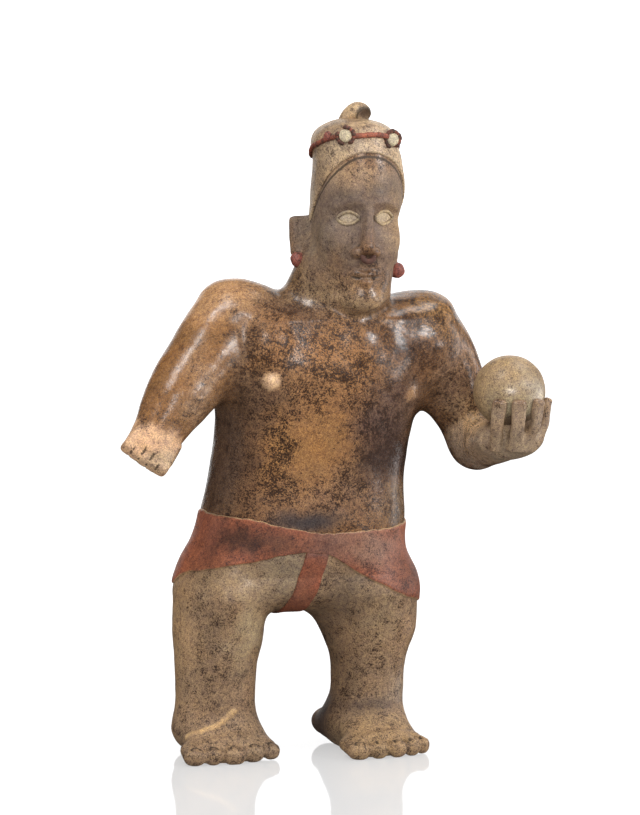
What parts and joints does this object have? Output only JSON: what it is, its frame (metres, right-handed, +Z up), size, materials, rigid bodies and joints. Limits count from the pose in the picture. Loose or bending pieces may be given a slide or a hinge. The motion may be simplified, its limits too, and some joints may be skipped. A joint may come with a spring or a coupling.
{
  "type": "ceramic ball player figure",
  "caption": "Standing fired-clay figure of a ball player in a loincloth and close cap, with a ball held up in the left hand.",
  "frame": {"origin": "on the ground under the middle of the figure's outline", "axes": "+Z up, the figure faces -Y, its left hand with the ball is at +X"},
  "size_m": [0.3666, 0.1898, 0.5556],
  "materials": {
    "clay": "burnished cream, brown and red slips with black mineral speckles, satin to glossy, worn and soiled in places"
  },
  "bodies": {
    "root": {"figure": "clay"}
  },
  "joints": []
}
